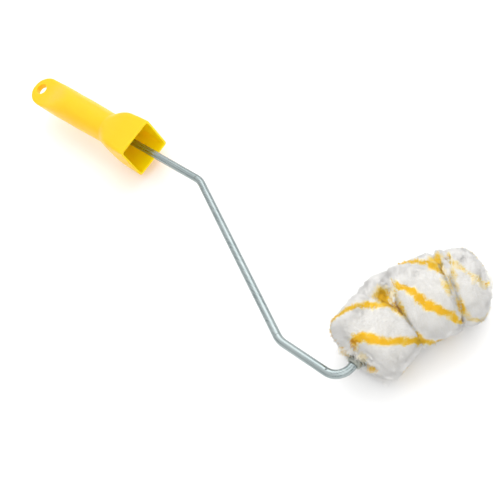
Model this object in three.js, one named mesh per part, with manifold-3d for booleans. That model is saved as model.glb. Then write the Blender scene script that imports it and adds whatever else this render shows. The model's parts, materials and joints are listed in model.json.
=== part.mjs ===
// A long-arm pipe roller. A hollow-fronted plastic handle holds a bent 6 mm steel wire. The end of the
// wire carries a flexible coil-spring axle, and three short pile rollers turn on it, one after another,
// so that they wrap round a pipe.
// Millimetres, +Z up. The handle's axis runs along +X and the wire's last arm along +Y.
import * as THREE from "three";
import { mergeVertices } from "three/addons/utils/BufferGeometryUtils.js";
import Module from "manifold-3d";

const wasm = await Module();
wasm.setup();

// ---- Driving dimensions. The origin is on the wire's axis, 4 mm in front of the bell's mouth ----
const GAP = 0.3; // clearance left between pieces that touch on the real tool

const HANDLE_TURN = 7; // the handle sits on the wire this many degrees off its plane
const BUTT_X = -152; // far end of the handle
const MOUTH_X = -4;
const SHAFT_R = 13.7;
const NECK_R = 13.1;
const BELL_HALF = 16.6; // half the side of the square bell
const BELL_LENGTH = 43;
const WALL = 1.7;
const TAB_HALF = 2.8; // half the thickness of the flat tab at the butt
const TAB_END_X = -133;
const SHAFT_START_X = -96;
const HANG_HOLE_X = -142;
const HANG_HOLE_R = 4.8;
const SOCKET_R = 5.8; // boss that grips the wire inside the bell
const SOCKET_FRONT_X = -32;

const WIRE_R = 3;
const WIRE_END_X = -95; // how deep the wire sits in the handle
const WIRE_CORNERS = [[61, 0], [201.5, -69.5], [253, -69.5]]; // where the straights would meet
const BEND_R = [17, 17, 12];
const ARM_END_Y = -26;

const ARM_X = 253;
const AXLE_START_Y = -52; // where the first roller begins
// length along the axle, and each roller's set towards +X from the one before, in degrees
const ROLLERS = [
  { name: "near", length: 39, bend: 0, bendAfter: 32 },
  { name: "mid", length: 38.5, bend: 32, bendAfter: 10 },
  { name: "far", length: 24, bend: 10, domed: true },
];
const SPARE_BEND = 3; // room for a joint to bend past its rest, in degrees

const PILE_R = 27.5;
const PILE_END_ROUND = 4;
const DOME_START = 7; // where the free end's dome leaves the full radius, from the joint
const CORE_R = 10;
const CORE_WALL = 1.5;
const CORE_SETBACK = 4.4; // from the joint to the end of the tube
const BUSH_FLANGE = 1;
const BUSH_FLANGE_R = 9.2;
const BUSH_DEPTH = 4.5;

const SPRING_R = 4.2; // middle of the spring's wire
const SPRING_WIRE_R = 0.75;
const SPRING_PITCH = 2.4;
const SPRING_SETBACK = 2.4; // from the joint to the middle of the last turn
const SPACER_BORE_R = 5.9;
const SPACER_R = 8;
const BUSH_BORE_R = SPRING_R + SPRING_WIRE_R + 0.35;

// ---- Materials ----
const plastic = (color, roughness) => new THREE.MeshStandardMaterial({ color, roughness, metalness: 0 });
const metal = (color, roughness) => new THREE.MeshStandardMaterial({ color, roughness, metalness: 1 });
const YELLOW = plastic(0xfcd20a, 0.4);
const ZINC = metal(0xb9c6c6, 0.3);
const SPRING_STEEL = metal(0x6c6a60, 0.4);
const CORE_PLASTIC = plastic(0xe4e2da, 0.5);
const PILE = plastic(0xefece2, 1);

// ---- Solids: geometry in, geometry out, with manifold-3d joining and cutting ----
function toSolid(geometry) {
  const bare = geometry.clone();
  bare.deleteAttribute("normal");
  bare.deleteAttribute("uv");
  const merged = mergeVertices(bare, 1e-4);
  const mesh = new wasm.Mesh({
    numProp: 3,
    vertProperties: new Float32Array(merged.attributes.position.array),
    triVerts: new Uint32Array(merged.index.array),
  });
  return new wasm.Manifold(mesh);
}

function toGeometry(solid) {
  const { vertProperties, triVerts } = solid.getMesh();
  const geometry = new THREE.BufferGeometry();
  geometry.setAttribute("position", new THREE.BufferAttribute(vertProperties, 3));
  geometry.setIndex(new THREE.BufferAttribute(triVerts, 1));
  geometry.computeVertexNormals();
  return geometry;
}

function named(name, geometry, material) {
  const mesh = new THREE.Mesh(geometry, material);
  mesh.name = name;
  return mesh;
}

// A closed skin over rings along X. A section is { x, y, z, square }: half sizes, and 2 for an ellipse
// up to about 12 for a box with round corners. y = 0 closes an end to a point.
function loftAlongX(sections, sides) {
  const positions = [];
  const index = [];
  for (const { x, y, z, square } of sections)
    for (let i = 0; i < sides; i++) {
      const turn = (2 * Math.PI * i) / sides;
      const round = (v) => Math.sign(v) * Math.abs(v) ** (2 / square);
      positions.push(x, y * round(Math.cos(turn)), z * round(Math.sin(turn)));
    }
  for (let ring = 0; ring + 1 < sections.length; ring++)
    for (let i = 0; i < sides; i++) {
      const a = ring * sides + i;
      const b = ring * sides + ((i + 1) % sides);
      index.push(a, b, a + sides, b, b + sides, a + sides);
    }
  const first = positions.length / 3;
  const last = sections.length - 1;
  positions.push(sections[0].x, 0, 0, sections[last].x, 0, 0);
  for (let i = 0; i < sides; i++) {
    const next = (i + 1) % sides;
    index.push(first, next, i);
    index.push(first + 1, last * sides + i, last * sides + next);
  }
  const geometry = new THREE.BufferGeometry();
  geometry.setAttribute("position", new THREE.Float32BufferAttribute(positions, 3));
  geometry.setIndex(index);
  return geometry;
}

// A ring or tube about Y from its outline as [radius, y] pairs, the last joined to the first.
function ringAboutY(outline, segments = 16) {
  const points = [...outline, outline[0]].map(([r, y]) => new THREE.Vector2(r, y));
  return new THREE.LatheGeometry(points, segments);
}

const disc = (r, sides) =>
  new THREE.Shape(
    Array.from({ length: sides }, (_, i) => {
      const turn = (2 * Math.PI * i) / sides;
      return new THREE.Vector2(r * Math.cos(turn), r * Math.sin(turn));
    }),
  );

const rodAlong = (path, r, sides, steps) =>
  new THREE.ExtrudeGeometry(disc(r, sides), { steps, bevelEnabled: false, extrudePath: path });

// ---- Handle: flat tab, round shaft, and a square bell that opens towards the roller ----
function handleSections() {
  const tabCentre = BUTT_X + SHAFT_R;
  const blank = TAB_HALF + 0.4; // a little over the tab's thickness, for the flat cuts to remove
  const tab = [0.12, 0.35, 0.6, 0.8, 0.93, 1].map((s) => {
    const x = tabCentre - SHAFT_R * Math.cos((s * Math.PI) / 2);
    return { x, y: Math.sqrt(SHAFT_R ** 2 - (x - tabCentre) ** 2), z: blank, square: 4 };
  });
  const swell = [0, 0.2, 0.4, 0.6, 0.8, 1].map((s) => {
    const eased = s * s * (3 - 2 * s);
    const x = TAB_END_X + (SHAFT_START_X - TAB_END_X) * s;
    return { x, y: SHAFT_R, z: blank + (SHAFT_R - blank) * eased, square: 4 - 2 * eased };
  });
  const bell = [0, 0.12, 0.3, 0.5, 0.75, 1].map((s) => {
    const half = NECK_R + (BELL_HALF - NECK_R) * Math.sin((s * Math.PI) / 2);
    return { x: MOUTH_X - BELL_LENGTH * (1 - 0.6 * s), y: half, z: half, square: 2 + 5 * s };
  });
  return [...tab, ...swell, ...bell, { x: MOUTH_X, y: BELL_HALF, z: BELL_HALF, square: 12 }];
}

function cavitySections() {
  const inside = BELL_HALF - WALL;
  return [
    { x: MOUTH_X - 36, y: 8.5, z: 8.5, square: 2 },
    { x: MOUTH_X - 30, y: 12, z: 12, square: 2.6 },
    { x: MOUTH_X - 18, y: inside - 0.5, z: inside - 0.5, square: 6 },
    { x: MOUTH_X + 1, y: inside, z: inside, square: 11 },
  ];
}

function cylinderAlongX(r, x0, x1, sides) {
  const geometry = new THREE.CylinderGeometry(r, r, x1 - x0, sides).rotateZ(Math.PI / 2);
  return geometry.translate((x0 + x1) / 2, 0, 0);
}

function boxSolid([x0, y0, z0], [x1, y1, z1]) {
  const box = new THREE.BoxGeometry(x1 - x0, y1 - y0, z1 - z0);
  return toSolid(box.translate((x0 + x1) / 2, (y0 + y1) / 2, (z0 + z1) / 2));
}

function makeHandle() {
  const cavity = toSolid(loftAlongX(cavitySections(), 32));
  const boss = toSolid(cylinderAlongX(SOCKET_R, MOUTH_X - 40, SOCKET_FRONT_X, 16));
  const outer = toSolid(loftAlongX(handleSections(), 32));
  const above = boxSolid([BUTT_X - 2, -20, TAB_HALF], [TAB_END_X, 20, 20]);
  const below = boxSolid([BUTT_X - 2, -20, -20], [TAB_END_X, 20, -TAB_HALF]);
  const bore = toSolid(cylinderAlongX(WIRE_R + GAP, WIRE_END_X - 0.6, 2, 16));
  const holeShape = new THREE.CylinderGeometry(HANG_HOLE_R, HANG_HOLE_R, 20, 24);
  const hangHole = toSolid(holeShape.rotateX(Math.PI / 2).translate(HANG_HOLE_X, 0, 0));
  const cuts = [cavity.subtract(boss), above, below, bore, hangHole];
  const body = cuts.reduce((whole, cut) => whole.subtract(cut), outer);
  return toGeometry(body).rotateX(THREE.MathUtils.degToRad(HANDLE_TURN));
}

// ---- Wire: straights joined by round bends, all in the plane z = 0 ----
class BentWire extends THREE.Curve {
  constructor(start, corners, end, radii, stepsPerBend) {
    super();
    const points = [start, ...corners, end].map(([x, y]) => new THREE.Vector2(x, y));
    this.points = [new THREE.Vector3(start[0], start[1], 0)];
    corners.forEach((_, i) => {
      const [before, corner, after] = points.slice(i, i + 3);
      const into = corner.clone().sub(before).normalize();
      const out = after.clone().sub(corner).normalize();
      const turn = Math.asin(into.cross(out));
      const radius = radii[i];
      const tangent = radius * Math.tan(Math.abs(turn) / 2);
      const side = new THREE.Vector2(-into.y, into.x).multiplyScalar(Math.sign(turn) * radius);
      const centre = corner.clone().addScaledVector(into, -tangent).add(side);
      for (let k = 0; k <= stepsPerBend; k++) {
        const p = side.clone().negate().rotateAround(new THREE.Vector2(), (turn * k) / stepsPerBend);
        this.points.push(new THREE.Vector3(centre.x + p.x, centre.y + p.y, 0));
      }
    });
    this.points.push(new THREE.Vector3(end[0], end[1], 0));
    this.steps = this.points.length - 1;
  }
  getPoint(t, target = new THREE.Vector3()) {
    const at = t * this.steps;
    const i = Math.min(Math.floor(at), this.steps - 1);
    return target.lerpVectors(this.points[i], this.points[i + 1], at - i);
  }
  getPointAt(u, target) {
    return this.getPoint(u, target);
  }
  getTangentAt(u, target) {
    return this.getTangent(u, target);
  }
}

function makeWire() {
  const path = new BentWire([WIRE_END_X, 0], WIRE_CORNERS, [ARM_X, ARM_END_Y], BEND_R, 8);
  return rodAlong(path, WIRE_R, 12, path.steps);
}

// ---- Axle and rollers, each in a group of its own with Y along the axle, from its middle ----
class Helix extends THREE.Curve {
  constructor(half) {
    super();
    this.half = half;
  }
  getPoint(t, target = new THREE.Vector3()) {
    const y = this.half * (2 * t - 1);
    const turn = (2 * Math.PI * y) / SPRING_PITCH;
    return target.set(SPRING_R * Math.cos(turn), y, SPRING_R * Math.sin(turn));
  }
}

function makeSpring(length) {
  const half = length / 2 - SPRING_SETBACK;
  const turns = (2 * half) / SPRING_PITCH;
  return rodAlong(new Helix(half), SPRING_WIRE_R, 5, Math.round(turns * 10));
}

function makeCoreTube(length) {
  const half = length / 2 - CORE_SETBACK;
  const inner = CORE_R - CORE_WALL;
  return ringAboutY([[inner, -half], [CORE_R, -half], [CORE_R, half], [inner, half]]);
}

function makeBush(length, side) {
  const hub = CORE_R - CORE_WALL - GAP;
  const seat = length / 2 - CORE_SETBACK + GAP;
  const outline = [
    [BUSH_BORE_R, seat - BUSH_DEPTH],
    [hub, seat - BUSH_DEPTH],
    [hub, seat],
    [BUSH_FLANGE_R, seat],
    [BUSH_FLANGE_R, seat + BUSH_FLANGE],
    [BUSH_BORE_R, seat + BUSH_FLANGE],
  ];
  return side > 0 ? ringAboutY(outline) : ringAboutY(outline).rotateX(Math.PI);
}

// Half of the pile's outline, from its shoulder down to the core. The end leans back by half of
// what the joint can bend, so that two rollers meet along their faces and don't cross.
function pileEnd(half, bend) {
  const lean = bend > 0 ? Math.tan(THREE.MathUtils.degToRad((bend + SPARE_BEND) / 2)) : 0;
  const inner = CORE_R + GAP;
  const reach = (r) => half - 0.5 - lean * r;
  const outline = [[PILE_R, reach(PILE_R) - PILE_END_ROUND]];
  for (let i = 1; i <= 4; i++) {
    const turn = (i * Math.PI) / 8;
    const r = PILE_R - PILE_END_ROUND * (1 - Math.cos(turn));
    outline.push([r, reach(PILE_R) - PILE_END_ROUND * (1 - Math.sin(turn))]);
  }
  outline.push([inner, Math.min(reach(inner), half - CORE_SETBACK + 2.5)]);
  return outline;
}

// The free end's pile closes over in a dome, open in the middle for the plug.
function pileDome(half) {
  const inner = CORE_R + GAP;
  const start = DOME_START - half;
  const outline = [];
  for (let i = 0; i <= 8; i++) {
    const turn = (i / 8) * Math.acos((inner / PILE_R) ** 1.1);
    const rise = (half - start) * Math.sin(turn) ** (2 / 2.6);
    outline.push([PILE_R * Math.cos(turn) ** (2 / 2.2), start + rise]);
  }
  return outline;
}

function makePile({ length, bendAfter, bend, domed }) {
  const after = domed ? pileDome(length / 2) : pileEnd(length / 2, bendAfter);
  const before = pileEnd(length / 2, bend).map(([r, y]) => [r, -y]);
  return ringAboutY([...before.reverse(), ...after], 32);
}

const washer = (inner, outer, y0, y1) => ringAboutY([[inner, y0], [outer, y0], [outer, y1], [inner, y1]]);

// Pushed into the last turns of the spring. Its cap keeps the far roller on.
function makeTipPlug(length) {
  const stem = SPRING_R - SPRING_WIRE_R - GAP;
  const seat = length / 2 + GAP;
  const cap = [[6.4, seat], [6.4, seat + 1.2], [4.6, seat + 2.6], [0, seat + 3.1]];
  const outline = [[0, 2], [stem, 2], [stem, seat], ...cap];
  return new THREE.LatheGeometry(outline.map(([r, y]) => new THREE.Vector2(r, y)), 16);
}

// A loose washer between two rollers. It lies square to neither, halfway between their headings.
function makeSpacer(name, x, y, heading) {
  const spacer = named(name, washer(SPACER_BORE_R, SPACER_R, -0.4, 0.4), CORE_PLASTIC);
  spacer.position.set(x, y, 0);
  spacer.rotation.z = -heading;
  return spacer;
}

// Places each roller's group at the end of the one before, turned by its own bend.
function makeRollers() {
  const joint = new THREE.Vector2(ARM_X, AXLE_START_Y);
  const spacers = [];
  let heading = 0;
  const groups = ROLLERS.map((roller, i) => {
    const { name, length } = roller;
    const bend = THREE.MathUtils.degToRad(roller.bend);
    if (i > 0) spacers.push(makeSpacer(`spacer_${name}`, joint.x, joint.y, heading + bend / 2));
    heading += bend;
    const along = new THREE.Vector2(Math.sin(heading), Math.cos(heading));
    const middle = joint.clone().addScaledVector(along, length / 2);
    const group = new THREE.Group();
    group.position.set(middle.x, middle.y, 0);
    group.rotation.z = -heading;
    group.add(
      named(`spring_${name}`, makeSpring(length), SPRING_STEEL),
      named(`core_tube_${name}`, makeCoreTube(length), CORE_PLASTIC),
      named(`bush_inner_${name}`, makeBush(length, -1), CORE_PLASTIC),
      named(`bush_outer_${name}`, makeBush(length, 1), CORE_PLASTIC),
      named(`pile_cover_${name}`, makePile(roller), PILE),
    );
    joint.addScaledVector(along, length);
    return group;
  });
  return { groups, spacers };
}

// ---- The tool, moved so that its origin is at the middle of the foot of its box ----
const { groups: rollers, spacers } = makeRollers();
const nearStart = -ROLLERS[0].length / 2;
rollers[0].add(
  named("stop_washer", washer(WIRE_R + GAP, 6.2, nearStart - 0.6, nearStart + 0.6), ZINC),
  named("stop_ferrule", washer(WIRE_R + GAP, 4.9, nearStart - 4.2, nearStart - 0.9), ZINC),
);
const farEnd = ROLLERS[2].length / 2;
rollers[2].add(
  named("tip_washer", washer(SPRING_R - SPRING_WIRE_R, 7.5, farEnd - 1.3, farEnd - 0.1), ZINC),
  named("tip_plug", makeTipPlug(ROLLERS[2].length), CORE_PLASTIC),
);
const tool = new THREE.Group();
tool.add(named("handle", makeHandle(), YELLOW), named("wire_frame", makeWire(), ZINC));
tool.add(...rollers, ...spacers);

const box = new THREE.Box3().setFromObject(tool, true);
const centre = box.getCenter(new THREE.Vector3());
tool.position.set(-centre.x, -centre.y, -box.min.z);

const part = new THREE.Group();
part.add(tool);
export default part;
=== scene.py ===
"""The looks of a long cranked pipe roller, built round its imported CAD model. Metres, +Z up."""

import json
import math

import bmesh
import bpy
import numpy as np
from mathutils import Matrix, Vector


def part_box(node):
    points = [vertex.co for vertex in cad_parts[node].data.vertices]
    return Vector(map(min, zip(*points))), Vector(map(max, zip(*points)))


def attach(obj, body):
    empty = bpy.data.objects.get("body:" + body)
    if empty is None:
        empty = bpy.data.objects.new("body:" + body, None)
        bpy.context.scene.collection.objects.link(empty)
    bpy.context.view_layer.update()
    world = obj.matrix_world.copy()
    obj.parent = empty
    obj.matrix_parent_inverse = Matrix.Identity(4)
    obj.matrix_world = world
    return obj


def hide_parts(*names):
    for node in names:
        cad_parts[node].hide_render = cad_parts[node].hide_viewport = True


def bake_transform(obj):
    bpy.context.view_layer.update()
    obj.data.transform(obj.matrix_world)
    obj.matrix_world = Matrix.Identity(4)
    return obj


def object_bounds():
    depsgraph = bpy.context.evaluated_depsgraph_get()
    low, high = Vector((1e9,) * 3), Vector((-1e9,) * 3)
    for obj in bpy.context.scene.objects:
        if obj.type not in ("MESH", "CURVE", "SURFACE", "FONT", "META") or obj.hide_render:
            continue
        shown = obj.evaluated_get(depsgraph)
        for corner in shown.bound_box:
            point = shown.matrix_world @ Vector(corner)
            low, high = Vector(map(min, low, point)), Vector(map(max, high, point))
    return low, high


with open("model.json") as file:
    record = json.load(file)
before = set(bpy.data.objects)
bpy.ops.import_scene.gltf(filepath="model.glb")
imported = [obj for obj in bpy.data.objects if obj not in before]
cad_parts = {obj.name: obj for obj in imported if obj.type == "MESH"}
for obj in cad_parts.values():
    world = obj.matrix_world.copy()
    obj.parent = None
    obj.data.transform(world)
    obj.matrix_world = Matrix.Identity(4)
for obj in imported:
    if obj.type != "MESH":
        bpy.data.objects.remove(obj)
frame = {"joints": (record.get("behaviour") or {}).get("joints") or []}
cad_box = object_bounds()

MM = 0.001
JOINTS = {j["name"]: j for j in frame["joints"]}
UP = np.array([0.0, 0.0, 1.0])


# ---------------------------------------------------------------- small tools

def smoothstep(t):
    t = np.clip(t, 0.0, 1.0)
    return t * t * (3 - 2 * t)


def unit(v):
    return v / np.maximum(np.linalg.norm(v, axis=-1, keepdims=True), 1e-12)


class Waves:
    """Smooth seeded noise, mostly within -1 to 1: a few sine waves in random directions."""

    def __init__(self, seed, wavelength, count=7):
        rng = np.random.default_rng(seed)
        spread = rng.uniform(0.7, 1.5, (count, 1))
        self.k = unit(rng.normal(size=(count, 3))) * 2 * math.pi / wavelength * spread
        self.phase = rng.uniform(0, 2 * math.pi, count)

    def __call__(self, p):
        return np.sin(p @ self.k.T + self.phase).sum(-1) / math.sqrt(len(self.phase))


def mesh_object(name, vertices, faces, material, smooth=True):
    mesh = bpy.data.meshes.new(name)
    mesh.from_pydata(np.asarray(vertices).tolist(), [], [list(f) for f in faces])
    mesh.materials.append(material)
    mesh.polygons.foreach_set("use_smooth", [smooth] * len(mesh.polygons))
    mesh.update()
    made = bpy.data.objects.new(name, mesh)
    bpy.context.scene.collection.objects.link(made)
    return made


def face_outward(mesh):
    shape = bmesh.new()
    shape.from_mesh(mesh)
    bmesh.ops.recalc_face_normals(shape, faces=shape.faces)
    shape.to_mesh(mesh)
    shape.free()


def skin(name, grid, material, wrap_rows=False):
    """A smooth skin over rings of points, one ring to a row. Its ends close with fans, unless the last
    ring joins the first."""
    grid = np.asarray(grid, float)
    rows, columns = grid.shape[:2]
    index = np.arange(rows * columns).reshape(rows, columns)
    last_row = rows if wrap_rows else rows - 1
    j = np.arange(columns)
    following = (j + 1) % columns
    faces = []
    for i in range(last_row):
        a, b = index[i], index[(i + 1) % rows]
        faces += np.stack([a[j], a[following], b[following], b[j]], 1).tolist()
    vertices = grid.reshape(-1, 3)
    if not wrap_rows:
        ends = [grid[0].mean(0), grid[-1].mean(0)]
        vertices = np.vstack([vertices, ends])
        first, second = rows * columns, rows * columns + 1
        for here, after in zip(j, following):
            faces.append([first, index[0][after], index[0][here]])
            faces.append([second, index[-1][here], index[-1][after]])
    made = mesh_object(name, vertices, faces, material)
    face_outward(made.data)
    return made


def rounded(outline, radius, steps=4):
    """A closed outline with each corner turned into an arc."""
    points = np.asarray(outline, float)
    out = []
    for before, corner, after in zip(np.roll(points, 1, 0), points, np.roll(points, -1, 0)):
        shorter = min(np.linalg.norm(before - corner), np.linalg.norm(after - corner))
        reach = min(radius, 0.45 * shorter)
        a = corner + unit(before - corner) * reach
        b = corner + unit(after - corner) * reach
        t = np.linspace(0, 1, steps + 1)[:, None]
        out.append((1 - t) ** 2 * a + 2 * t * (1 - t) * corner + t**2 * b)
    return np.vstack(out)


def turned(name, outline, place, material, segments=96, edge=0.25 * MM):
    """A ring turned about the local Y axis from a closed outline of (radius, y)."""
    profile = rounded(outline, edge)
    turn = np.linspace(0, 2 * math.pi, segments, endpoint=False)
    r, y = profile[:, 0][:, None], profile[:, 1][:, None]
    local = np.stack([r * np.cos(turn), y + 0 * turn, r * np.sin(turn)], -1)
    return skin(name, place.to_world(local), material, wrap_rows=True)


def sweep(name, path, radii, sides, material):
    """A round tube along a path of points, with its section turned as little as possible. It has one
    radius, or one for each point."""
    path = np.asarray(path, float)
    tangent = unit(np.gradient(path, axis=0))
    side = unit(np.cross(tangent[0], UP + 0.01))
    turn = np.linspace(0, 2 * math.pi, sides, endpoint=False)
    rings = []
    for p, t, r in zip(path, tangent, np.broadcast_to(radii, len(path))):
        side = unit(side - t * (side @ t))
        up = np.cross(t, side)
        rings.append(p + r * (np.outer(np.cos(turn), side) + np.outer(np.sin(turn), up)))
    return skin(name, rings, material)


# ---------------------------------------------------------------- materials

def set_range(node, low, high, to_low, to_high):
    """Sets what a Map Range node maps from and to."""
    limits = {"From Min": low, "From Max": high, "To Min": to_low, "To Max": to_high}
    for key, number in limits.items():
        node.inputs[key].default_value = number


class Shader:
    """A Principled material with helpers for the few nodes used here."""

    def __init__(self, name, **values):
        self.material = bpy.data.materials.new(name)
        self.material.use_nodes = True
        self.nodes = self.material.node_tree.nodes
        self.links = self.material.node_tree.links
        self.surface = next(n for n in self.nodes if n.type == "BSDF_PRINCIPLED")
        for key, value in values.items():
            socket = self.surface.inputs[key.replace("_", " ").title().replace("Ior", "IOR")]
            socket.default_value = (*value, 1.0) if isinstance(value, tuple) else value
        self.coordinates = self.nodes.new("ShaderNodeTexCoord").outputs["Object"]

    def noise(self, scale, detail=3.0, roughness=0.55, stretch=(1, 1, 1)):
        mapping = self.nodes.new("ShaderNodeMapping")
        mapping.inputs["Scale"].default_value = stretch
        self.links.new(self.coordinates, mapping.inputs["Vector"])
        made = self.nodes.new("ShaderNodeTexNoise")
        made.inputs["Scale"].default_value = scale
        made.inputs["Detail"].default_value = detail
        made.inputs["Roughness"].default_value = roughness
        self.links.new(mapping.outputs["Vector"], made.inputs["Vector"])
        return made.outputs["Fac"]

    def remap(self, value, low, high, to_low, to_high):
        made = self.nodes.new("ShaderNodeMapRange")
        set_range(made, low, high, to_low, to_high)
        self.links.new(value, made.inputs["Value"])
        return made.outputs["Result"]

    def mix(self, factor, a, b):
        """A colour between a and b. Each is a colour or another node's output."""
        made = self.nodes.new("ShaderNodeMix")
        made.data_type = "RGBA"
        self.links.new(factor, made.inputs["Factor"])
        for key, colour in (("A", a), ("B", b)):
            socket = next(s for s in made.inputs if s.name == key and s.type == "RGBA")
            if isinstance(colour, tuple):
                socket.default_value = (*colour, 1.0)
            else:
                self.links.new(colour, socket)
        return next(s for s in made.outputs if s.type == "RGBA")

    def math(self, operation, a, b):
        made = self.nodes.new("ShaderNodeMath")
        made.operation = operation
        for socket, value in zip(made.inputs, (a, b)):
            if isinstance(value, (int, float)):
                socket.default_value = value
            else:
                self.links.new(value, socket)
        return made.outputs["Value"]

    def colour(self, value):
        self.links.new(value, self.surface.inputs["Base Color"])

    def roughness(self, value):
        self.links.new(value, self.surface.inputs["Roughness"])

    def bump(self, height, distance, strength=1.0):
        made = self.nodes.new("ShaderNodeBump")
        made.inputs["Distance"].default_value = distance
        made.inputs["Strength"].default_value = strength
        self.links.new(height, made.inputs["Height"])
        self.links.new(made.outputs["Normal"], self.surface.inputs["Normal"])


def moulded_yellow(name, dark, light):
    """Glossy polypropylene with a faint flow mottle, an orange-peel skin and fine handling scuffs."""
    s = Shader(name, roughness=0.4, specular_ior_level=0.3, subsurface_weight=0.5,
               subsurface_scale=0.006)
    s.surface.inputs["Subsurface Radius"].default_value = (1.0, 0.7, 0.08)
    flow = s.noise(38, detail=2, stretch=(0.35, 1, 1))
    s.colour(s.mix(s.remap(flow, 0.3, 0.7, 0, 1), dark, light))
    scuff = s.noise(420, detail=4, roughness=0.65, stretch=(0.25, 1, 1))
    s.roughness(s.remap(scuff, 0.35, 0.75, 0.30, 0.46))
    peel = s.noise(1500, detail=1)
    s.bump(s.math("ADD", peel, s.math("MULTIPLY", scuff, 0.5)), 0.00002, 0.5)
    return s.material


def zinc_wire():
    """Drawn wire under bright zinc: fine lines along its length and a faint cool bloom."""
    s = Shader("zinc_wire", metallic=1.0, roughness=0.3)
    bloom = s.noise(55, detail=3)
    lines = s.noise(900, detail=3, stretch=(0.03, 1, 1))
    cool = s.mix(s.remap(bloom, 0.35, 0.7, 0, 1), (0.235, 0.285, 0.29), (0.31, 0.36, 0.36))
    s.colour(s.mix(s.remap(lines, 0.3, 0.75, 0, 1), cool, (0.40, 0.45, 0.45)))
    s.roughness(s.remap(s.math("ADD", lines, bloom), 0.7, 1.4, 0.22, 0.38))
    s.bump(lines, 0.00003, 0.6)
    return s.material


def dull_steel(name, dark, light, roughness):
    """Plain metal with darker oily patches."""
    s = Shader(name, metallic=1.0, roughness=roughness)
    patches = s.noise(260, detail=4, roughness=0.6)
    s.colour(s.mix(s.remap(patches, 0.35, 0.7, 0, 1), dark, light))
    s.roughness(s.remap(patches, 0.3, 0.7, roughness + 0.1, roughness - 0.06))
    s.bump(s.noise(1400, detail=2), 0.00003, 0.5)
    return s.material


def core_plastic():
    """Off-white moulded plastic, a little dusty with loose fibre."""
    s = Shader("core_plastic", roughness=0.5)
    dust = s.noise(500, detail=4)
    s.colour(s.mix(s.remap(dust, 0.4, 0.7, 0, 1), (0.74, 0.73, 0.68), (0.84, 0.83, 0.79)))
    s.roughness(s.remap(dust, 0.3, 0.7, 0.42, 0.62))
    s.bump(s.noise(1800, detail=2), 0.00002, 0.5)
    return s.material


def fibre(name, colour, sheen):
    """One dye of pile fibre. Its variation comes from the strands, which lie every way."""
    s = Shader(name, base_color=colour, roughness=0.85, specular_ior_level=0.25,
               sheen_weight=sheen, sheen_roughness=0.6)
    return s.material


def backing():
    """The body of the pile under its strand tips: matted fleece, darker than the strands as painted shade of
    the gaps between them.
    """
    s = Shader("pile_backing_painted_shade", roughness=0.95, sheen_weight=0.25, specular_ior_level=0.15)
    matting = s.remap(s.noise(700, detail=5), 0.3, 0.7, 0, 1)
    # Both tones are darker than the white strands: painted shade where the backing shows between them,
    # mottled at random.
    s.colour(s.mix(matting, (0.86, 0.84, 0.79), (0.93, 0.915, 0.88)))
    s.bump(s.noise(1100, detail=5, roughness=0.7), 0.0004, 0.8)
    return s.material


YELLOW = moulded_yellow("moulded_yellow", (0.94, 0.505, 0.0008), (0.97, 0.535, 0.0015))
# A lighter copy of the yellow for the bell's inside: painted light, standing in for the glow through its
# thin walls.
PAINTED_LIGHT_YELLOW = moulded_yellow("inner_yellow_painted_light", (1.0, 0.70, 0.002), (1.0, 0.73, 0.003))
ZINC = zinc_wire()
FERRULE = dull_steel("ferrule_steel", (0.29, 0.305, 0.27), (0.48, 0.50, 0.46), 0.42)
SPRING_STEEL = dull_steel("spring_steel", (0.20, 0.19, 0.16), (0.42, 0.41, 0.37), 0.38)
CORE = core_plastic()
FLEECE_PAINTED_SHADE = backing()
DYES = {
    "white": fibre("pile_white", (0.965, 0.955, 0.93), 0.35),
    "ivory": fibre("pile_ivory", (0.945, 0.925, 0.88), 0.35),
    "straw": fibre("pile_straw", (1.0, 0.745, 0.18), 0.1),
    "peach": fibre("pile_peach", (1.0, 0.89, 0.62), 0.3),
    "gold": fibre("pile_gold", (1.0, 0.63, 0.04), 0.05),
    # The darker gold is painted shade, for gold pile deep in the folds between rollers.
    "gold_painted_shade": fibre("pile_gold_painted_shade", (0.80, 0.37, 0.012), 0.15),
}


# ---------------------------------------------------------------- the three rollers' places

class Roller:
    """A local frame with Y along the axle from the roller's middle, and X towards the inside of the bend."""

    def __init__(self, name, body, axle, start, along, length, stripe=0.0):
        self.name, self.body, self.axle = name, body, axle
        self.stripe = stripe  # how far from the roller's start a stripe crosses its top
        self.along = unit(np.array(along, float))
        self.side = np.cross(self.along, UP)
        self.half = length / 2
        self.centre = np.array(start, float) + self.along * self.half

    def to_world(self, local):
        return self.centre + np.asarray(local, float) @ np.stack([self.side, self.along, UP])

    def to_local(self, world):
        return (world - self.centre) @ np.stack([self.side, self.along, UP]).T

    def turn_to_world(self, direction):
        return np.asarray(direction, float) @ np.stack([self.side, self.along, UP])


FAR_LENGTH = 24 * MM
bend_mid = np.array(JOINTS["axle_flex_mid"]["pos_m"])
bend_tip = np.array(JOINTS["axle_flex_tip"]["pos_m"])
near_middle = np.array(JOINTS["near_spin"]["pos_m"])
NEAR = Roller(
    "near", "near_roller", "frame", 2 * near_middle - bend_mid, JOINTS["near_spin"]["axis"],
    2 * np.linalg.norm(bend_mid - near_middle), stripe=3.0 * MM,
)
MIDDLE = Roller(
    "mid", "middle_roller", "axle_mid", bend_mid, JOINTS["middle_spin"]["axis"],
    np.linalg.norm(bend_tip - bend_mid), stripe=9.3 * MM,
)
FAR = Roller(
    "far", "far_roller", "axle_tip", bend_tip, JOINTS["far_spin"]["axis"], FAR_LENGTH, stripe=9.0 * MM,
)
ROLLERS = [NEAR, MIDDLE, FAR]

handle_low, handle_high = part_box("handle")
BUTT_X, MOUTH_X = handle_low.x, handle_high.x
AXIS = np.array([0.0, (handle_low.y + handle_high.y) / 2, near_middle[2]])


# ---------------------------------------------------------------- camera, light and floor

CAMERA_FROM_MOUTH = Vector((0.46445, -0.17417, 0.48991))
CAMERA_DEGREES = (32.292, 16.690, 41.046)
CAMERA_LENS = 61.22
FLOOR_REACH = 3.0


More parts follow.
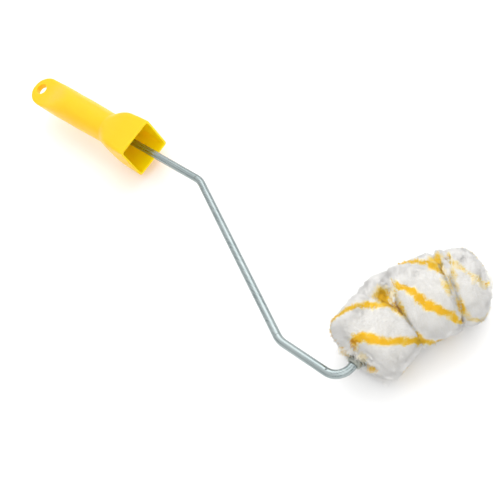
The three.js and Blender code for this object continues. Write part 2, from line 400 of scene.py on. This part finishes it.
def make_camera():
    camera = bpy.data.objects.new("camera", bpy.data.cameras.new("camera"))
    bpy.context.scene.collection.objects.link(camera)
    mouth = Vector((MOUTH_X, AXIS[1], AXIS[2]))
    camera.location = mouth + CAMERA_FROM_MOUTH
    camera.rotation_euler = [math.radians(a) for a in CAMERA_DEGREES]
    camera.data.sensor_width = 36
    camera.data.lens = CAMERA_LENS
    camera.data.clip_start = 0.01
    bpy.context.scene.camera = camera


def area_light(name, place, aim, size, power):
    light = bpy.data.lights.new(name, "AREA")
    light.shape = "SQUARE"
    light.size = size
    light.energy = power
    made = bpy.data.objects.new(name, light)
    bpy.context.scene.collection.objects.link(made)
    made.location = place
    made.rotation_euler = (Vector(aim) - Vector(place)).to_track_quat("-Z", "Y").to_euler()


def make_studio():
    world = bpy.data.worlds.new("studio")
    world.use_nodes = True
    nodes, links = world.node_tree.nodes, world.node_tree.links
    height = nodes.new("ShaderNodeSeparateXYZ")
    links.new(nodes.new("ShaderNodeTexCoord").outputs["Generated"], height.inputs[0])
    tent = nodes.new("ShaderNodeMapRange")  # a soft box overhead, darker towards the walls
    set_range(tent, 0.05, 0.75, 0.66, 1.22)
    links.new(height.outputs["Z"], tent.inputs["Value"])
    nodes["Background"].inputs["Color"].default_value = (1, 1, 1, 1)
    links.new(tent.outputs["Result"], nodes["Background"].inputs["Strength"])
    bpy.context.scene.world = world
    bpy.context.scene.view_settings.view_transform = "Standard"
    area_light("key", (-0.35, 0.85, 1.3), (0.0, 0.0, 0.0), 1.4, 8.5)
    area_light("fill", (1.0, -0.4, 1.2), (0.1, 0.0, 0.0), 1.2, 3.8)
    s = Shader("floor_paper", roughness=0.9)
    s.colour(s.mix(s.noise(6, detail=2), (0.93, 0.93, 0.93), (0.96, 0.96, 0.96)))
    level = float(cad_box[0][2])
    corners = [(x * FLOOR_REACH, y * FLOOR_REACH, level) for x, y in ((-1, -1), (1, -1), (1, 1), (-1, 1))]
    floor = mesh_object("floor", corners, [(0, 1, 2, 3)], s.material, smooth=False)


# ---------------------------------------------------------------- handle

HANDLE_TURN = math.radians(7)
WIRE_RADIUS = 3.0 * MM
SHAFT = 13.7 * MM
NECK = 13.1 * MM
BELL = 17.5 * MM
WALL = 1.7 * MM
TAB = 2.8 * MM
HOLE_X = BUTT_X + 9.8 * MM
HOLE_RADIUS = 4.8 * MM
RING_STEP = 1.2 * MM
PARTING_RIDGE = 0.13 * MM
SIDES = 160
# Where each change of the handle's section starts along X, and how long it takes.
SWELL = (BUTT_X + 14 * MM, 44 * MM)
NECKING = (MOUTH_X - 80 * MM, 36 * MM)
FLARE = (MOUTH_X - 43 * MM, 26 * MM)
SQUARING = (MOUTH_X - 17 * MM, 17 * MM)
# Down the bell's inside: millimetres from the mouth, millimetres in from the wall, and squareness.
BELL_INSIDE = [
    (5, 0.0, 16), (10, 0.2, 12), (15, 0.4, 7), (20, 0.9, 5.5), (25, 1.7, 4),
    (30, 2.9, 2.7), (34, 4.6, 2.3), (36.5, 6.3, 2.1), (37.5, 8.2, 2),
]
# Up over the boss that grips the wire and down its bore: millimetres from the mouth, and radius.
WIRE_BOSS = [(37.4, 5.9), (36.8, 5.7), (28.4, 5.5), (28.0, 5.1), (28.1, 3.4), (29, 3.25), (40, 3.2)]


def superellipse(x, y, z, square, ridge=0.0):
    """One ring about X, from half sizes and a squareness from 2, an ellipse, to 18, nearly a box. The
    ridge is the parting line on both sides."""
    turn = np.linspace(0, 2 * math.pi, SIDES, endpoint=False)
    c, s = np.cos(turn), np.sin(turn)
    ring = np.stack([
        np.full(SIDES, x),
        y * np.sign(c) * np.abs(c) ** (2 / square),
        z * np.sign(s) * np.abs(s) ** (2 / square),
    ], -1)
    ring[[0, SIDES // 2], 1] += np.array([ridge, -ridge])
    return ring


def progress(x, change):
    """How much of a change of section is done at x, from 0 to 1."""
    start, length = change
    return np.clip((x - start) / length, 0, 1)


def outer_section(x):
    """(half width, half height, squareness) of the handle's outside at x."""
    tab_centre = BUTT_X + SHAFT
    width = math.sqrt(max(SHAFT**2 - (x - tab_centre) ** 2, 0)) if x < tab_centre else SHAFT
    swell = smoothstep(progress(x, SWELL))
    height = TAB + (SHAFT - TAB) * swell
    flare = progress(x, FLARE)
    change = (NECK - SHAFT) * smoothstep(progress(x, NECKING))
    change += (BELL - NECK) * math.sin(flare * math.pi / 2)
    if flare == 0:
        square = 5.5 - 3.5 * swell
    else:
        square = 2 + 6 * smoothstep(flare) + 10 * progress(x, SQUARING)
    return width + change, height + change, square


def handle_rings():
    """From the butt round the outside to the mouth, over the rim, and down the inside to the wire."""
    rings = []
    for t in np.linspace(0.03, 1, 14):
        x = BUTT_X + SHAFT * (1 - math.cos(t * math.pi / 2))
        width, height, square = outer_section(x)
        thin = height - 0.9 * MM * (1 - math.sin(min(1, t * 2.2) * math.pi / 2))
        rings.append(superellipse(x, width, thin, square))
    rim = 0.7 * MM
    for x in np.arange(BUTT_X + SHAFT + RING_STEP, MOUTH_X - rim, RING_STEP):
        width, height, square = outer_section(x)
        rings.append(superellipse(x, width, height, square, ridge=PARTING_RIDGE))
    for turn in np.linspace(0, math.pi, 9):
        half = BELL - WALL / 2 + WALL / 2 * math.cos(turn)
        rings.append(superellipse(MOUTH_X - rim + rim * math.sin(turn), half, half, 18))
    inside = BELL - WALL
    for depth, inset, square in BELL_INSIDE:
        half = inside - inset * MM
        rings.append(superellipse(MOUTH_X - depth * MM, half, half, square))
    for depth, radius in WIRE_BOSS:
        rings.append(superellipse(MOUTH_X - depth * MM, radius * MM, radius * MM, 2))
    return np.array(rings)


def hang_hole_cutter():
    """A plug that widens at both faces, so that the hole it cuts has rounded lips."""
    lip = 0.9 * MM
    outline = [(HOLE_RADIUS + lip, TAB + 3 * MM), (HOLE_RADIUS + lip, TAB)]
    outline += [
        (HOLE_RADIUS + lip * (1 - math.sin(t)), TAB - lip * (1 - math.cos(t)))
        for t in np.linspace(0.25, math.pi / 2, 6)
    ]
    profile = np.array(outline + [(r, -z) for r, z in reversed(outline)])
    turn = np.linspace(0, 2 * math.pi, 72, endpoint=False)
    grid = np.stack([
        HOLE_X + profile[:, :1] * np.cos(turn), profile[:, :1] * np.sin(turn), profile[:, 1:] + 0 * turn
    ], -1)
    return skin("hole_cutter", grid, YELLOW)


def make_handle():
    body = skin("handle_grip", handle_rings(), YELLOW)
    cutter = hang_hole_cutter()
    cut = body.modifiers.new("hang hole", "BOOLEAN")
    cut.operation = "DIFFERENCE"
    cut.solver = "EXACT"
    cut.object = cutter
    bpy.context.view_layer.update()
    evaluated = body.evaluated_get(bpy.context.evaluated_depsgraph_get())
    mesh = bpy.data.meshes.new_from_object(evaluated)
    body.modifiers.clear()
    body.data = mesh
    bpy.data.objects.remove(cutter)
    # The faces inside the bell take the lighter copy of the yellow: painted light in the hollow.
    mesh.materials.append(PAINTED_LIGHT_YELLOW)
    bell_start = MOUTH_X - 45 * MM
    for face in mesh.polygons:
        radial = Vector((0.0, face.center.y, face.center.z))
        faces_axis = radial.length > WIRE_RADIUS and face.normal.dot(radial) < 0
        if face.center.x > bell_start and faces_axis:
            face.material_index = len(mesh.materials) - 1
    about_wire = Matrix.Translation(AXIS) @ Matrix.Rotation(HANDLE_TURN, 4, "X")
    mesh.transform(about_wire)
    mesh.set_sharp_from_angle(angle=math.radians(50))
    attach(body, "frame")
    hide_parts("handle")


# ---------------------------------------------------------------- wire and fittings

def wire_path():
    """The centreline: straights joined by round bends, level with the handle's axis."""
    low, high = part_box("wire_frame")
    crank_y = low.y + WIRE_RADIUS
    corners = [
        (MOUTH_X + 65 * MM, AXIS[1], 17 * MM),
        (MOUTH_X + 205.5 * MM, crank_y, 17 * MM),
        (near_middle[0], crank_y, 12 * MM),
    ]
    ends = [np.array([low.x, AXIS[1]]), np.array([near_middle[0], high.y])]
    points = [ends[0]] + [np.array(c[:2]) for c in corners] + [ends[1]]
    path = [points[0]]
    for i, (_, _, radius) in enumerate(corners, start=1):
        into, out = unit(points[i] - points[i - 1]), unit(points[i + 1] - points[i])
        turn = math.asin(into[0] * out[1] - into[1] * out[0])
        start = points[i] - into * radius * math.tan(abs(turn) / 2)
        side = np.array([-into[1], into[0]]) * math.copysign(radius, turn)
        straight = np.linalg.norm(start - path[-1])
        # Each point covers a growing share of what is left, so the last all but coincide.
        for t in np.linspace(0, 1, int(straight / (3 * MM)) + 2)[1:]:
            path.append(path[-1] + (start - path[-1]) * t if t < 1 else start)
        centre = start + side
        for a in np.linspace(0, turn, 14)[1:]:
            c, s = math.cos(a), math.sin(a)
            path.append(centre + np.array([[c, -s], [s, c]]) @ -side)
    path.append(points[-1])
    return np.array([[x, y, AXIS[2]] for x, y in path])


def make_wire():
    wire = sweep("wire_rod", wire_path(), WIRE_RADIUS, 48, ZINC)
    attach(wire, "frame")
    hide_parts("wire_frame")


def fitting(name, outline, roller, body, material, node):
    """One turned fitting, from its outline in millimetres in a roller's frame."""
    piece = turned(name, np.array(outline) * MM, roller, material)
    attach(piece, body)
    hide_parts(node)


def ring(inner, outer, y0, y1):
    """The outline of a plain washer or tube."""
    return [(inner, y0), (outer, y0), (outer, y1), (inner, y1)]


def make_stop():
    """The ferrule and the washer that keep the sleeve off the wire's last bend."""
    start = -NEAR.half / MM
    collar = [(3.3, start - 4.2), (4.5, start - 4.2), (4.9, start - 3.6), (4.9, start - 0.9),
              (3.3, start - 0.9)]
    plate = ring(3.3, 6.2, start - 0.6, start + 0.6)
    fitting("ferrule", collar, NEAR, "frame", FERRULE, "stop_ferrule")
    fitting("stop_plate", plate, NEAR, "frame", FERRULE, "stop_washer")


def make_free_end():
    """The washer and the pushed-in plug that keep the rollers on."""
    end = FAR.half / MM
    washer = ring(3.45, 7.5, end - 1.3, end - 0.1)
    seat = end + 0.3
    cap = [(0.02, 2), (3.15, 2), (3.15, seat), (6.4, seat), (6.4, seat + 1.2), (5.6, seat + 2.3),
           (3.2, seat + 3), (0.02, seat + 3.1)]
    fitting("end_washer", washer, FAR, "axle_tip", ZINC, "tip_washer")
    fitting("end_cap", cap, FAR, "axle_tip", CORE, "tip_plug")


def make_core(roller):
    """A roller's core tube, with a flanged bush in each end."""
    tube_end = roller.half / MM - 4.4
    seat = tube_end + 0.3
    tube = ring(8.5, 10, -tube_end, tube_end)
    outer = [(5.3, seat - 4.5), (8.2, seat - 4.5), (8.2, seat), (9.2, seat), (9.2, seat + 1),
             (5.3, seat + 1)]
    inner = [(r, -y) for r, y in outer]
    for name, outline, node in (("core", tube, "core_tube"), ("outer_bush", outer, "bush_outer"),
                                ("inner_bush", inner, "bush_inner")):
        fitting(f"{name}_{roller.name}", outline, roller, roller.body, CORE,
                f"{node}_{roller.name}")


def make_thrust_washer(before, after):
    start = after.centre - after.along * after.half
    between = Roller(after.name, "", "", start, before.along + after.along, 0.0)
    fitting(f"thrust_washer_{after.name}", ring(5.9, 8, -0.4, 0.4), between, before.axle, CORE,
            f"spacer_{after.name}")


def make_fittings():
    make_stop()
    make_free_end()
    for roller in ROLLERS:
        make_core(roller)
    for before, after in ((NEAR, MIDDLE), (MIDDLE, FAR)):
        make_thrust_washer(before, after)


def make_spring(roller):
    """One stretch of the coil axle, with its last half turn at each end tapered flat."""
    pitch, mean, setback = 2.4 * MM, 4.2 * MM, 2.4 * MM
    half = roller.half - setback
    t = np.linspace(-1, 1, int(half / pitch * 2 * 30))
    turn = 2 * math.pi * half * t / pitch
    local = np.stack([mean * np.cos(turn), half * t, mean * np.sin(turn)], -1)
    radii = 0.75 * MM * np.minimum(1, 0.55 + 30 * (1 - np.abs(t)))
    coil = sweep(f"coil_{roller.name}", roller.to_world(local), radii, 12, SPRING_STEEL)
    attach(coil, roller.axle)
    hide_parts(f"spring_{roller.name}")


# ---------------------------------------------------------------- pile

PILE = 27.6 * MM
BORE = 11.5 * MM
SPACING = 0.66 * MM
STRAND_LENGTH = 3.2 * MM
STRAND_WIDTH = 0.32 * MM
STRAND_LEAN = 0.27
BACKING_DEPTH = 1.6 * MM
# Each roller's shoulder radius and end lean, at its start and its end: millimetres and degrees.
SHOULDERS = {"near": (9.5, 8), "mid": (8, 5), "far": (5, 5)}
LEANS = {"near": (3, 5), "mid": (5, 2), "far": (2, 2)}
FAR_SCALE = 0.87
LUMPS = Waves(11, 15 * MM)
RIPPLE = Waves(12, 5.5 * MM)
SWIRL = [Waves(20 + i, 13 * MM) for i in range(3)]
FLICK = [Waves(30 + i, 3.2 * MM) for i in range(3)]


def end_profile(half, lean, shoulder):
    """(radius, y) from the shoulder of one end down to the bore."""

    def face(radius):
        return half - 0.4 * MM - radius * math.tan(lean)

    reach = face(PILE)
    turn = np.linspace(0, math.pi / 2, 14)
    points = [(PILE - shoulder * (1 - math.cos(a)), reach - shoulder * (1 - math.sin(a))) for a in turn]
    inner = np.linspace(points[-1][0], BORE, 12)[1:]
    return points + [(r, face(r)) for r in inner]


def dome_profile(half):
    """The free end, which closes over round the cap."""
    start = 8 * MM - half
    turn = np.linspace(0, math.acos((9.5 * MM / PILE) ** 1.1), 24)
    radius = PILE * np.cos(turn) ** (2 / 2.1)
    y = start + (half + 1.2 * MM - start) * np.sin(turn) ** (2 / 2.2)
    return list(zip(radius, y)) + [(7.4 * MM, half + 0.5 * MM)]


def pile_profile(roller):
    """The outside of a roller's pile, from the bore at its start to the bore at its end."""
    before, after = [
        end_profile(roller.half, math.radians(lean), shoulder * MM)
        for lean, shoulder in zip(LEANS[roller.name], SHOULDERS[roller.name])
    ]
    if roller is FAR:
        after = dome_profile(roller.half)
    profile = np.array([(r, -y) for r, y in reversed(before)] + after)
    if roller is FAR:
        profile[:, 0] = BORE + (profile[:, 0] - BORE) * FAR_SCALE
    steps = np.linalg.norm(np.diff(profile, axis=0), axis=1)
    at = np.concatenate([[0], np.cumsum(steps)])
    even = np.linspace(0, at[-1], int(at[-1] / (1.1 * MM)))
    return np.stack([np.interp(even, at, profile[:, 0]), np.interp(even, at, profile[:, 1])], 1)


def profile_normals(profile):
    tangent = unit(np.gradient(profile, axis=0))
    return np.stack([tangent[:, 1], -tangent[:, 0]], 1)


def lumpy(points, normals, depth=0.0):
    """Moves points out along their normals by the pile's lumps, less depth."""
    swell = 0.34 * MM * LUMPS(points) + 0.1 * MM * RIPPLE(points)
    return points + normals * (swell - depth)[..., None]


def face_centres(piece):
    centres = np.empty(len(piece.data.polygons) * 3, np.float32)
    piece.data.polygons.foreach_get("center", centres)
    return centres.reshape(-1, 3)


def dye_backing(piece, strength):
    """The dye goes down to the backing, where it shows between the strands."""
    for dye in ("peach", "straw", "gold"):
        piece.data.materials.append(DYES[dye])
    index = np.digitize(strength, (0.2, 0.45, 0.7)).astype(np.int32)
    piece.data.polygons.foreach_set("material_index", index)


def make_backing(roller):
    profile = pile_profile(roller)
    normal = profile_normals(profile)
    turn = np.linspace(0, 2 * math.pi, 150, endpoint=False)
    c, s = np.cos(turn), np.sin(turn)
    r, y = profile[:, :1], profile[:, 1:]
    local = np.stack([r * c, y + 0 * c, r * s], -1)
    out = np.stack([normal[:, :1] * c, normal[:, 1:] + 0 * c, normal[:, :1] * s], -1)
    world = lumpy(roller.to_world(local), roller.turn_to_world(out), BACKING_DEPTH)
    inner = [roller.to_world(np.stack([10.3 * MM * c, y0 + 0 * c, 10.3 * MM * s], -1))
             for y0 in np.linspace(profile[-1, 1], profile[0, 1], 6)]
    piece = skin(f"pile_body_{roller.name}", np.concatenate([world, inner]), FLEECE_PAINTED_SHADE, wrap_rows=True)
    dye_backing(piece, dye_strength(roller, roller.to_local(face_centres(piece))))
    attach(piece, roller.body)
    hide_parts(f"pile_cover_{roller.name}")


def scatter(profile, rng):
    """Even, jittered places on a turned surface: local points and normals."""
    normal = profile_normals(profile)
    steps = np.linalg.norm(np.diff(profile, axis=0), axis=1)
    at = np.concatenate([[0], np.cumsum(steps)])
    points, normals = [], []
    row = 0.0
    while row < at[-1]:
        radius = np.interp(row, at, profile[:, 0])
        apart = SPACING * (1.0 if radius > PILE - 9 * MM else 1.5)
        row += apart
        count = int(2 * math.pi * radius / apart)
        where = row - rng.uniform(0, 1, count) * apart
        turn = (np.arange(count) + rng.uniform(-0.45, 0.45, count) + rng.uniform()) * 2 * math.pi / count
        r, y = np.interp(where, at, profile[:, 0]), np.interp(where, at, profile[:, 1])
        nr, ny = np.interp(where, at, normal[:, 0]), np.interp(where, at, normal[:, 1])
        points.append(np.stack([r * np.cos(turn), y, r * np.sin(turn)], -1))
        normals.append(np.stack([nr * np.cos(turn), ny, nr * np.sin(turn)], -1))
    return np.vstack(points), unit(np.vstack(normals))


def strands(name, points, normals, dye, rng, length=STRAND_LENGTH, width=STRAND_WIDTH, facing=None):
    """Tapered three-sided strands whose tips lie on the points. They lean with a slow swirl and flick
    apart, and are shaded mostly as the surface they make together."""
    count = len(points)
    swirl = np.stack([w(points) for w in SWIRL], -1) + 0.5 * np.stack([w(points) for w in FLICK], -1)
    swirl += rng.normal(0, 0.4, (count, 3))
    swirl -= normals * (swirl * normals).sum(-1, keepdims=True)
    direction = unit(normals + STRAND_LEAN * swirl)
    strays = rng.uniform(size=(count, 1)) < 0.08
    stray = np.where(strays, rng.uniform(0.3 * MM, 1.6 * MM, (count, 1)), 0.0)
    tips = lumpy(points, normals) + normals * (rng.normal(0, 0.16 * MM, (count, 1)) + stray)
    reach = length * rng.uniform(0.75, 1.25, (count, 1))
    roots = tips - direction * reach
    bow = unit(rng.normal(size=(count, 3))) * reach * 0.09
    side = unit(np.cross(direction, rng.normal(size=(count, 3))))
    other = np.cross(direction, side)
    half = width * rng.uniform(0.7, 1.2, (count, 1))
    facing = normals if facing is None else facing
    vertices, shading = [], []
    for share, girth in ((0.0, 0.9), (0.55, 0.8)):
        centre = roots + (tips - roots) * share + bow * 4 * share * (1 - share)
        for turn in (0, 2 * math.pi / 3, 4 * math.pi / 3):
            away = side * math.cos(turn) + other * math.sin(turn)
            vertices.append(centre + away * half * girth)
            shading.append(unit(facing + 0.16 * away))
    vertices.append(tips)
    shading.append(unit(facing + 0.15 * direction))
    block = len(vertices)
    vertices = np.stack(vertices, 1).reshape(-1, 3)
    shading = np.stack(shading, 1).reshape(-1, 3)
    faces = []
    for i in range(3):
        j = (i + 1) % 3
        faces += [(i, j, j + 3), (i, j + 3, i + 3), (i + 3, j + 3, 6)]
    faces = (np.arange(count)[:, None, None] * block + np.array(faces)).reshape(-1, 3)
    mesh = bpy.data.meshes.new(name)
    mesh.vertices.add(len(vertices))
    mesh.vertices.foreach_set("co", vertices.astype(np.float32).ravel())
    mesh.loops.add(faces.size)
    mesh.loops.foreach_set("vertex_index", faces.astype(np.int32).ravel())
    mesh.polygons.add(len(faces))
    mesh.polygons.foreach_set("loop_start", np.arange(0, faces.size, 3, dtype=np.int32))
    mesh.polygons.foreach_set("use_smooth", np.ones(len(faces), bool))
    mesh.update(calc_edges=True)
    mesh.materials.append(DYES[dye])
    mesh.normals_split_custom_set_from_vertices(shading.tolist())
    made = bpy.data.objects.new(name, mesh)
    bpy.context.scene.collection.objects.link(made)
    return made


STRIPE_HALF = 3.1 * MM
STRIPES_ROUND = 4
STRIPE_PITCH = 29.8 * MM
STRIPE_SLANT = math.cos(math.atan(STRIPES_ROUND * STRIPE_PITCH / (2 * math.pi * PILE)))
# Where dye shows in the folds between rollers: (degrees round the axle, spread, strength).
FOLD_DYE = {
    ("near", 1): [(88, 13, 1.0), (64, 16, 0.9), (38, 20, 0.5)],
    ("mid", -1): [(92, 10, 0.8), (60, 18, 0.75), (32, 20, 0.45)],
    ("mid", 1): [(118, 12, 0.7), (66, 14, 0.5)],
    ("far", -1): [(118, 14, 0.9), (84, 14, 0.5), (62, 10, 0.35), (30, 15, 1.0)],
}


def dyed(strength, rng):
    """A dye for each strand, from white through the paler ones to gold as the strength rises to 1."""
    level = strength + rng.normal(0, 0.15, len(strength)) * np.sqrt(np.clip(strength, 0, 1))
    dye = np.select([level > 0.68, level > 0.42, level > 0.18], ["gold", "straw", "peach"], "white")
    return np.where((dye == "white") & (rng.uniform(size=len(dye)) < 0.3), "ivory", dye)


def dye_strength(roller, local):
    """How strongly the pile is dyed. The cover is wound from a striped strip, so its stripes are helices."""
    wander = 1.2 * MM * LUMPS(local + 0.05) + 0.6 * MM * RIPPLE(local + 0.02)
    turn = np.arctan2(local[:, 2], local[:, 0]) / (2 * math.pi) - 0.25
    y = local[:, 1] + roller.half + wander - roller.stripe
    phase = y / STRIPE_PITCH + STRIPES_ROUND * turn
    away = np.abs(phase - np.round(phase)) * STRIPE_PITCH * STRIPE_SLANT / STRIPE_HALF
    chance = 1 - smoothstep((away - 0.25) / 1.0)
    chance *= np.clip(1.1 + 0.3 * LUMPS(local * 1.7 + 0.3) + 0.25 * RIPPLE(local * 0.9), 0.6, 1.3)
    degrees = np.degrees(turn * 2 * math.pi) + 90
    if roller is FAR:
        chance *= 0.36
    if roller is NEAR:
        low_side = smoothstep((30 - degrees) / 20)
        chance *= 1 - low_side * smoothstep((15 * MM - local[:, 1] - roller.half) / (6 * MM))
    for (name, side), patches in FOLD_DYE.items():
        if name != roller.name:
            continue
        near_fold = 1 - smoothstep((roller.half - side * local[:, 1] - 3.5 * MM) / (4 * MM))
        for angle, spread, strength in patches:
            off = (degrees - angle + 180) % 360 - 180
            chance = np.maximum(chance, near_fold * strength * np.exp(-((off / spread) ** 2)))
    return np.clip(chance, 0, 1)


def dyes_at(roller, local, rng):
    dye = dyed(dye_strength(roller, local), rng)
    # Gold sunk deep near a fold turns to the darker gold: painted shade of the crevice.
    deep = np.hypot(local[:, 0], local[:, 2]) < PILE - 4 * MM
    by_fold = np.abs(local[:, 1]) > roller.half - 6 * MM
    return np.where((dye == "gold") & deep & by_fold, "gold_painted_shade", dye)


def make_pile(roller, seed):
    rng = np.random.default_rng(seed)
    local, normals = scatter(pile_profile(roller), rng)
    dye = dyes_at(roller, local, rng)
    for name in DYES:
        mine = dye == name
        if mine.sum() < 3:
            continue
        points, outward = roller.to_world(local[mine]), roller.turn_to_world(normals[mine])
        piece = strands(f"pile_{name}_{roller.name}", points, outward, name, rng)
        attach(piece, roller.body)


# Between two rollers the pile fans out to fill the outside of the bend. It doesn't turn with either.

FAN_REACH = 11 * MM
FAN_TURNS = np.radians((15, 345))
FAN_BACKING_DEPTH = 2.8 * MM


class Fan:
    """The fanned pile between two rollers: deep enough at its fold to leave the crease that shows there."""

    def __init__(self, before, after, inset, drop, pit, notch, fold, edges, tint):
        self.before, self.after = before, after
        self.inset, self.drop, self.pit = inset, drop, pit
        self.notch, self.fold, self.edges, self.tint = notch, fold, edges, tint
        self.bend = math.acos(float(before.along @ after.along))
        self.joint = after.centre - after.along * after.half

    def surface(self, turn, share):
        """Points and normals. The turn is round the axle. The share runs from -1 to 1 across the fan,
        whose middle half is the wedge between the rollers' ends."""
        turn, share = np.broadcast_arrays(turn, share)
        heading = self.bend * (0.5 + np.clip(share, -0.5, 0.5))
        past = np.clip(np.abs(share) - 0.5, 0, 0.5) * 2
        cos, sin = np.cos(heading)[..., None], np.sin(heading)[..., None]
        side = self.before.side * cos - self.before.along * sin
        along = self.before.along * cos + self.before.side * sin
        normal = np.cos(turn)[..., None] * side + np.sin(turn)[..., None] * UP
        edge = np.where(share < 0, self.edges[0], self.edges[1])
        sunk = self.inset + edge * smoothstep(past)
        sunk += self.notch * np.exp(-(((share - self.fold) / 0.3) ** 2))
        sunk += self.drop * (1 - smoothstep((0.25 - np.cos(turn)) / 0.6))
        sunk += self.pit * np.exp(-(((np.degrees(turn) - 67) / 11) ** 2))
        radius = PILE - sunk
        reach = (FAN_REACH * past * np.sign(share))[..., None]
        return self.joint + normal * radius[..., None] + along * reach, normal

    def strength(self, turn, share):
        strength = np.zeros(len(turn))
        for angle, spread, most in self.tint:
            strength = np.maximum(strength, most * np.exp(-(((np.degrees(turn) - angle) / spread) ** 2)))
        return strength * np.exp(-(((share - self.fold) / 0.8) ** 2))

    def dyes(self, turn, share, rng):
        dye = dyed(self.strength(turn, share), rng)
        # Gold in the crease, where the pit sinks the fan, turns to the darker gold: painted shade.
        return np.where((dye == "gold") & (np.abs(np.degrees(turn) - 66) < 14), "gold_painted_shade", dye)

    def make(self, seed):
        rng = np.random.default_rng(seed)
        turns = np.linspace(*FAN_TURNS, 120)
        grid, normal = self.surface(turns[:, None], np.linspace(-1, 1, 30)[None, :])
        under = self.joint + (grid[:, ::-1] - self.joint) * 0.5
        loops = np.concatenate([lumpy(grid, normal, FAN_BACKING_DEPTH), under], 1)
        pieces = [skin(f"pile_fan_{self.after.name}", loops, FLEECE_PAINTED_SHADE)]
        width = self.bend * PILE + 2 * FAN_REACH
        middle = Roller("", "", "", self.joint, self.before.along + self.after.along, 0.0)
        local = middle.to_local(face_centres(pieces[0]))
        round_axle = np.arctan2(local[:, 2], local[:, 0]) % (2 * math.pi)
        dye_backing(pieces[0], self.strength(round_axle, 2 * local[:, 1] / width))
        count = int((FAN_TURNS[1] - FAN_TURNS[0]) * PILE * width * 1.3 / SPACING**2)
        turn, share = rng.uniform(*FAN_TURNS, count), rng.uniform(-1, 1, count)
        points, outward = self.surface(turn, share)
        dye = self.dyes(turn, share, rng)
        for name in DYES:
            mine = dye == name
            if mine.sum() > 3:
                fibres = strands(f"fan_{name}_{self.after.name}", points[mine], outward[mine], name, rng)
                pieces.append(fibres)
        for piece in pieces:
            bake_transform(piece)


FANS = [
    Fan(
        NEAR, MIDDLE, inset=0.4 * MM, drop=3.2 * MM, pit=4 * MM, notch=0.8 * MM, fold=-0.4,
        edges=(1.4 * MM, 1.4 * MM), tint=[(92, 15, 1.2), (68, 18, 1.0), (38, 16, 0.4)],
    ),
    Fan(
        MIDDLE, FAR, inset=1.6 * MM, drop=1.2 * MM, pit=0.8 * MM, notch=1.6 * MM, fold=-0.5,
        edges=(3.0 * MM, 2.4 * MM), tint=[(122, 18, 1.0), (92, 20, 0.7), (70, 14, 0.6), (32, 15, 1.0)],
    ),
]


TUFT_COUNT = 80
TUFT_LENGTH = 5.5 * MM
TUFT_WIDTH = 0.13 * MM


def make_tufts(roller, seed):
    """Tufts that have worked loose at the near end, round the wire and along the rim."""
    rng = np.random.default_rng(seed)
    places = [(angle + rng.normal(0, 5), 25 * MM, 1.0, "white") for angle in range(-135, -40, 15)]
    places += [(angle + rng.normal(0, 5), 10 * MM, 0.15, "ivory") for angle in range(70, 290, 24)]
    places += [(158, 9.5 * MM, 0.5, "gold"), (170, 12 * MM, 0.7, "white"), (186, 10.5 * MM, 0.6, "straw"),
               (-8, 11 * MM, 0.5, "gold"), (200, 15 * MM, 0.8, "white"), (60, 12 * MM, 0.3, "peach")]
    tips = {}
    for angle, radius, outward, dye in places:
        a = math.radians(angle)
        spoke = np.array([math.cos(a), 0.0, math.sin(a)])
        lean = unit(outward * spoke + np.array([0.0, -1.0, 0.0]) + rng.normal(0, 0.25, 3))
        inward = 3.5 * MM if radius > 20 * MM else 0.5 * MM
        start = spoke * radius + np.array([0.0, -roller.half + inward, 0.0])
        tip = start + lean * rng.uniform(1.0 * MM, 2.4 * MM)
        heading = unit(lean + rng.normal(0, 0.22, (TUFT_COUNT, 3)))
        tips.setdefault(dye, []).append((tip + rng.normal(0, 1.1 * MM, (TUFT_COUNT, 3)), heading))
    for dye, groups in tips.items():
        points = roller.to_world(np.vstack([g[0] for g in groups]))
        outward = roller.turn_to_world(np.vstack([g[1] for g in groups]))
        name = f"tuft_{dye}_{roller.name}"
        facing = unit(outward + 1.3 * UP)
        piece = strands(name, points, outward, dye, rng, TUFT_LENGTH, TUFT_WIDTH, facing)
        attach(piece, roller.body)


make_camera()
make_studio()
make_handle()
make_wire()
make_fittings()
for number, each in enumerate(ROLLERS):
    make_spring(each)
    make_backing(each)
    make_pile(each, seed=100 + number)
make_tufts(NEAR, seed=300)
for number, fan in enumerate(FANS):
    fan.make(seed=200 + number)
